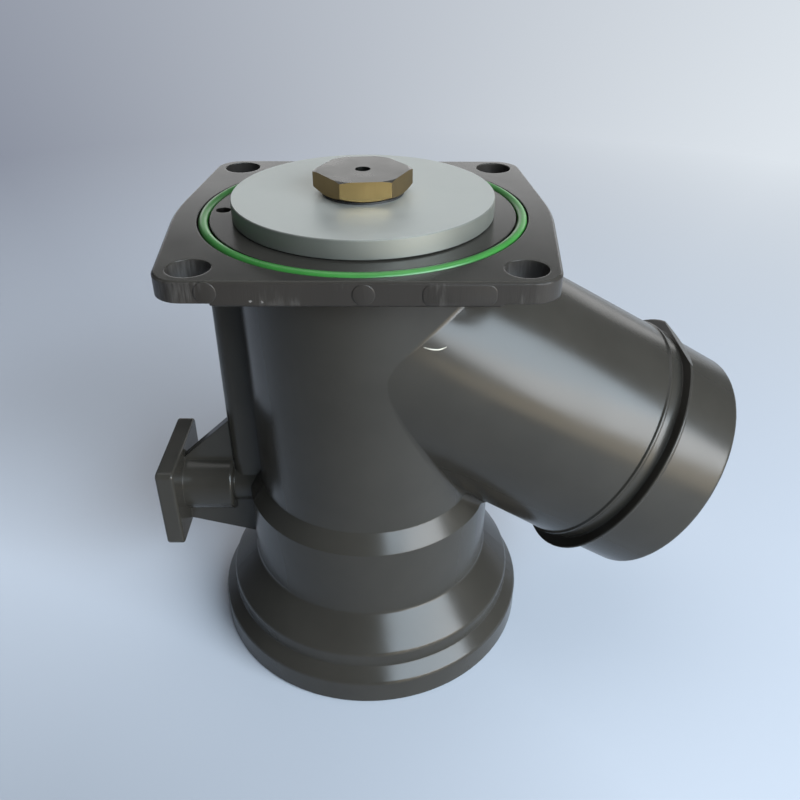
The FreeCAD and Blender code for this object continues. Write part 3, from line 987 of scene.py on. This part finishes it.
    def port_thread(self, name: str, middle_y: float, bore_r: float, pitch: float,
                    turns: int) -> bpy.types.Object:
        """Winds the thread of one hole in the air port's face.

        Args:
            name: the piece's name.
            middle_y: the hole's place across the face.
            bore_r: the hole's radius.
            pitch: rise of one turn.
            turns: how many turns show.

        Returns:
            The thread, standing inwards from the hole's wall.
        """
        root_r, root = bore_r + self.thread_sink, self.thread_root * pitch
        crest_r, crest = bore_r - self.thread_depth * pitch, self.thread_crest * pitch
        bm = MeshShop.screw([(root_r, -root), (root_r, root), (crest_r, crest),
                             (crest_r, -crest)], pitch, turns)
        start = self.port_face + self.thread_start * pitch
        stand = Matrix.Translation((start, middle_y, self.port_height)) @ \
            Matrix.Rotation(QUARTER_TURN, 4, "Y")
        piece = MeshShop.finish(bm, name, placed=stand)
        ALUMINIUM.dress(piece)
        return piece

    def build(self) -> list[bpy.types.Object]:
        """Builds the housing's pieces and rides them on it.

        Returns:
            The new pieces.
        """
        self.dress_solids()
        spring = self.return_spring()
        pieces = [self.flange_ring(), self.insert_pad(), self.crease_ledge(), spring]
        pieces += [self.pin_mark(n, m) for n, m in enumerate(self.pin_marks, 1)]
        pieces.append(self.port_thread("port_thread", 0.0, self.port_bore_r,
                                       self.port_pitch, self.port_turns))
        for number, side in enumerate((-1, 1), 1):
            pieces.append(self.port_thread(
                f"screw_thread_{number}", side * self.tapped_y, self.tapped_r,
                self.tapped_pitch, self.tapped_turns))
        for piece in pieces:
            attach(piece, Body.HOUSING.value)
        self.press_spring(spring)
        return pieces


@dataclass
class Poppet:
    """The disc, nut, stem and piston that slide together."""

    disc_r: float = 50.0
    disc_foot: float = 0.35
    disc_top: float = 7.45
    disc_edge: float = 0.3
    bore_r: float = 8.05
    facing_inner_r: float = 44.6
    facing_outer_r: float = 49.0
    facing_t: float = 2.4
    facing_clearance: float = 0.05
    facing_slack: float = 0.02
    nut_af: float = 32.7
    nut_foot: float = 8.25
    nut_h: float = 7.85
    nut_turn: float = 35.6
    nut_top_rim: float = 17.3
    nut_top_slope: float = 16.0
    nut_foot_rim: float = 15.2
    nut_foot_slope: float = 28.0
    nut_hole_r: float = 2.9
    nut_hole_depth: float = 7.0
    nut_edge: float = 0.14
    nut_edge_angle: float = 12.0
    nut_crisp_angle: float = 4.0
    nut_spare: float = 1.0

    def dress_solids(self) -> None:
        """Gives the solids their finishes."""
        for node, finish in (
                ("valve_stem", PLATED), ("stem_o_ring", BLACK_RUBBER),
                ("valve_disc", DISC_STEEL), ("disc_facing", BLACK_RUBBER),
                ("nut_washer", BLACK_RUBBER), ("stem_nut", ZINC), ("piston", ALUMINIUM),
                ("piston_guide_ring", GUIDE_BAND), ("piston_seal", BLACK_RUBBER),
                ("piston_washer", PLATED), ("piston_nut", PLATED)):
            finish.dress(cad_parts[node])

    def disc(self) -> bpy.types.Object:
        """Builds the disc with its broken edges and the recess for the facing.

        Returns:
            The disc.
        """
        low, high, edge = self.disc_foot, self.disc_top, self.disc_edge
        inner = self.facing_inner_r - self.facing_slack
        outer = self.facing_outer_r + self.facing_slack
        roof = self.facing_clearance + self.facing_t + self.facing_slack
        bm = MeshShop.turn(MeshShop.profile(
            [(self.bore_r, low), (inner, low), (inner, roof), (outer, roof),
             (outer, low), (self.disc_r - edge, low), (self.disc_r, low + edge),
             (self.disc_r, high - edge), (self.disc_r - edge, high),
             (self.bore_r, high)]), FINE_STEPS)
        piece = MeshShop.finish(bm, "satin_disc", sharp=30.0)
        DISC_STEEL.dress(piece)
        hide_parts("valve_disc")
        return piece

    def stem_nut(self) -> bpy.types.Object:
        """Builds the hexagon with its turned chamfers and centre hole.

        The plain hexagon is a little too tall, and the chamfer tool cuts it to
        its height.  With faces in one plane the cut sometimes fails.

        Returns:
            The nut.
        """
        corner = self.nut_af / math.sqrt(3.0)
        spare = self.nut_spare
        bm = bmesh.new()
        bmesh.ops.create_cone(bm, cap_ends=True, cap_tris=False, segments=6,
                              radius1=corner, radius2=corner,
                              depth=self.nut_h + 2 * spare)
        turned = Matrix.Translation((0, 0, self.nut_foot + self.nut_h / 2)) @ \
            Matrix.Rotation(math.radians(self.nut_turn), 4, "Z")
        nut = MeshShop.finish(bm, "stem_hexagon", placed=turned)
        low, high = self.nut_foot, self.nut_foot + self.nut_h
        reach = corner + spare
        rise = (reach - self.nut_foot_rim) * math.tan(math.radians(self.nut_foot_slope))
        drop = (reach - self.nut_top_rim) * math.tan(math.radians(self.nut_top_slope))
        cone = MeshShop.turn(MeshShop.profile(
            [(0, low), (self.nut_foot_rim, low), (reach, low + rise),
             (reach, high - drop), (self.nut_top_rim, high), (0, high)],
            closed=False), FINE_STEPS)
        MeshShop.cut(nut, MeshShop.finish(cone, "chamfer_tool"), Cut.COMMON)
        bottom = high - self.nut_hole_depth
        hole = MeshShop.turn(MeshShop.profile(
            [(0, bottom), (self.nut_hole_r, bottom),
             (self.nut_hole_r, high + spare), (0, high + spare)], closed=False), 64)
        MeshShop.cut(nut, MeshShop.finish(hole, "drill"), Cut.REST)
        MeshShop.ease_edges(nut, self.nut_edge, self.nut_edge_angle,
                            self.nut_crisp_angle)
        ZINC.dress(nut)
        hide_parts("stem_nut")
        return nut

    def build(self) -> list[bpy.types.Object]:
        """Builds the poppet's pieces and rides them on it.

        Returns:
            The new pieces.
        """
        self.dress_solids()
        pieces = [self.disc(), self.stem_nut()]
        for piece in pieces:
            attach(piece, Body.POPPET.value)
        return pieces


@dataclass(frozen=True)
class Lamp:
    """One soft lamp that faces the valve.

    Attributes:
        name: the lamp's name.
        azimuth: degrees clockwise from +Y.
        elevation: degrees above the valve's middle.
        distance: metres from the valve.
        size: width and height in metres.
        radiance: how bright its face looks.
        tint: the light's colour.
        middle: what the lamp faces.
    """

    name: str
    azimuth: float
    elevation: float
    distance: float
    size: Pair
    radiance: float
    tint: Triple = (1.0, 1.0, 1.0)
    middle: Triple = (0.02, 0.0, -0.08)

    def hang(self) -> None:
        """Hangs the lamp."""
        width, height = self.size
        light = bpy.data.lights.new(self.name, "AREA")
        light.shape = "RECTANGLE"
        light.size, light.size_y = width, height
        light.energy = self.radiance * math.pi * width * height
        light.color = self.tint
        lamp = add_object(self.name, light)
        a, e = math.radians(self.azimuth), math.radians(self.elevation)
        way = Vector((math.sin(a) * math.cos(e), math.cos(a) * math.cos(e),
                      math.sin(e)))
        lamp.matrix_world = \
            Matrix.Translation(Vector(self.middle) + self.distance * way) @ \
            way.to_track_quat("Z", "Y").to_matrix().to_4x4()
        lamp.visible_camera = False


LAMPS = (
    Lamp("window", 138, 32.5, 1.3, (1.2, 0.46), 13.6, (0.74, 0.88, 1.0)),
    Lamp("window_foot", 132, 14.7, 1.3, (0.88, 0.35), 14.0, (0.95, 0.98, 1.0)),
    Lamp("window_sill", 137, 1.0, 1.3, (1.25, 0.27), 4.4, (1.0, 0.84, 0.6)),
    Lamp("sky", 30, 78, 1.6, (1.4, 1.4), 1.5),
    Lamp("back", 6, 12.5, 1.8, (2.8, 0.6), 1.6),
    Lamp("fill", 318, 54, 1.6, (0.9, 0.7), 0.8))


@dataclass
class Studio:
    """Floor, lamps, world and camera; the eye in millimetres, the floor in metres."""

    eye: Triple = (12.968, -297.082, 104.643)
    yaw: float = 0.0044
    pitch: float = 0.5727
    roll: float = 0.0038
    lens: float = 35.752
    sensor: float = 36.0
    floor_r: float = 9.0
    floor_roughness: float = 0.75
    # Painted shade on the floor: its darker tone, and the spans that make it darker
    # towards the camera, to the left and a little to the right.
    floor_painted_shade: Triple = colour(84, 88, 95)
    floor_light: Triple = colour(199, 206, 217)
    floor_bounce: Triple = colour(150, 152, 155)
    painted_shade_towards_eye: Pair = (0.02, -0.33)
    painted_shade_to_left: Pair = (0.28, -0.12)
    painted_shade_to_right: Pair = (-0.12, 0.2)
    painted_shade_right_share: float = 0.22
    room: Triple = colour(190, 195, 205)
    room_strength: float = 0.13
    haze_left: Triple = colour(140, 146, 160)
    haze_right: Triple = colour(222, 229, 236)
    haze_turn: float = 0.55
    haze_start: float = 0.32
    haze_full: float = 0.95

    @staticmethod
    def direct_rays(desk: NodeDesk) -> bpy.types.NodeSocket:
        """Marks the rays that look at a thing: camera, gloss and glass.

        Args:
            desk: the material's desk.

        Returns:
            The mask's socket.
        """
        rays = desk.node("LightPath").outputs
        return desk.calc("MAXIMUM", rays["Is Camera Ray"],
                         desk.calc("MAXIMUM", rays["Is Glossy Ray"],
                                   rays["Is Transmission Ray"]))

    def haze_tone(self, desk: NodeDesk,
                  toward: bpy.types.NodeSocket) -> bpy.types.NodeSocket:
        """Colours the far haze: darker to the left than to the right.

        Args:
            desk: the material's or the world's desk.
            toward: where a point lies, or the way a ray looks.

        Returns:
            The colour's socket.
        """
        way = desk.vector("NORMALIZE", toward).outputs[0]
        return desk.blend(desk.span(desk.parts(way)[0], -self.haze_turn,
                                    self.haze_turn), self.haze_left, self.haze_right)

    def floor_finish(self) -> bpy.types.Material:
        """Makes the floor's material, which fades to haze far off and has painted shade
        near the valve.

        Returns:
            The material.
        """
        made = bpy.data.materials.new("pale_floor")
        made.use_nodes = True
        desk = NodeDesk(made.node_tree)
        where = desk.place()
        x, y, _ = desk.parts(where)
        # Painted shade: the floor darkens towards the camera and the left, and a little
        # to the right.
        painted_floor_shade = desk.calc("MULTIPLY", desk.span(y, *self.painted_shade_towards_eye),
                          desk.span(x, *self.painted_shade_to_left))
        painted_floor_shade = desk.calc("MAXIMUM", painted_floor_shade, desk.span(x, *self.painted_shade_to_right, 0.0,
                                                      self.painted_shade_right_share))
        tone = desk.blend(painted_floor_shade, self.floor_light, self.floor_painted_shade)
        seen = self.direct_rays(desk)
        shader = desk.feed(made.node_tree.nodes["Principled BSDF"], {
            "Base Color": desk.blend(seen, self.floor_bounce, tone),
            "Roughness": self.floor_roughness})
        away = desk.vector("LENGTH", where).outputs["Value"]
        far = desk.span(away, self.haze_start, self.haze_full)
        glow = desk.node("Emission", {"Color": self.haze_tone(desk, where),
                                      "Strength": 1.0})
        mixed = desk.node("MixShader", {0: desk.calc("MULTIPLY", seen, far),
                                        1: shader.outputs[0], 2: glow.outputs[0]})
        desk.feed(made.node_tree.nodes["Material Output"],
                  {"Surface": mixed.outputs[0]})
        return made

    def floor(self) -> None:
        """Lays the pale floor under the valve's foot."""
        low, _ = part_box("valve_housing")
        bm = bmesh.new()
        bmesh.ops.create_circle(bm, cap_ends=True, segments=96, radius=self.floor_r)
        bmesh.ops.translate(bm, vec=(0, 0, low.z), verts=bm.verts[:])
        mesh = bpy.data.meshes.new("floor")
        bm.to_mesh(mesh)
        bm.free()
        mesh.materials.append(self.floor_finish())
        add_object("floor", mesh)

    def world(self) -> None:
        """Sets the world: a dim room that the camera sees as haze."""
        world = bpy.data.worlds.new("room")
        bpy.context.scene.world = world
        world.use_nodes = True
        desk = NodeDesk(world.node_tree)
        room = desk.feed(world.node_tree.nodes["Background"], {
            "Color": (*self.room, 1.0), "Strength": self.room_strength})
        toward = desk.node("TexCoord").outputs["Generated"]
        pale = desk.node("Background", {"Color": self.haze_tone(desk, toward),
                                        "Strength": 1.0})
        rays = desk.node("LightPath").outputs
        mixed = desk.node("MixShader", {0: rays["Is Camera Ray"],
                                        1: room.outputs[0], 2: pale.outputs[0]})
        desk.feed(world.node_tree.nodes["World Output"],
                  {"Surface": mixed.outputs[0]})

    def camera(self) -> None:
        """Stands the camera where the photograph was taken."""
        forward = Vector((math.sin(self.yaw) * math.cos(self.pitch),
                          math.cos(self.yaw) * math.cos(self.pitch),
                          -math.sin(self.pitch)))
        right = Vector((math.cos(self.yaw), -math.sin(self.yaw), 0.0))
        up = right.cross(forward)
        c, s = math.cos(self.roll), math.sin(self.roll)
        right, up = right * c + up * s, up * c - right * s
        turn = Matrix((right, up, -forward)).transposed().to_4x4()
        data = bpy.data.cameras.new("camera")
        data.lens, data.sensor_width = self.lens, self.sensor
        data.clip_start = 0.01
        camera = add_object("camera", data)
        camera.matrix_world = Matrix.Translation(Vector(self.eye) * MM) @ turn
        bpy.context.scene.camera = camera

    def build(self) -> None:
        """Sets up the whole studio."""
        self.camera()
        self.floor()
        for lamp in LAMPS:
            lamp.hang()
        self.world()
        bpy.context.scene.view_settings.view_transform = "Standard"


def main() -> None:
    """Builds the valve and its studio."""
    logging.basicConfig(level=logging.INFO, format="%(message)s")
    for part in (Housing(), Poppet()):
        for piece in part.build():
            log.info("%s: %s has %d faces", type(part).__name__, piece.name,
                     len(piece.data.polygons))
    Studio().build()


if __name__ == "__main__":
    main()
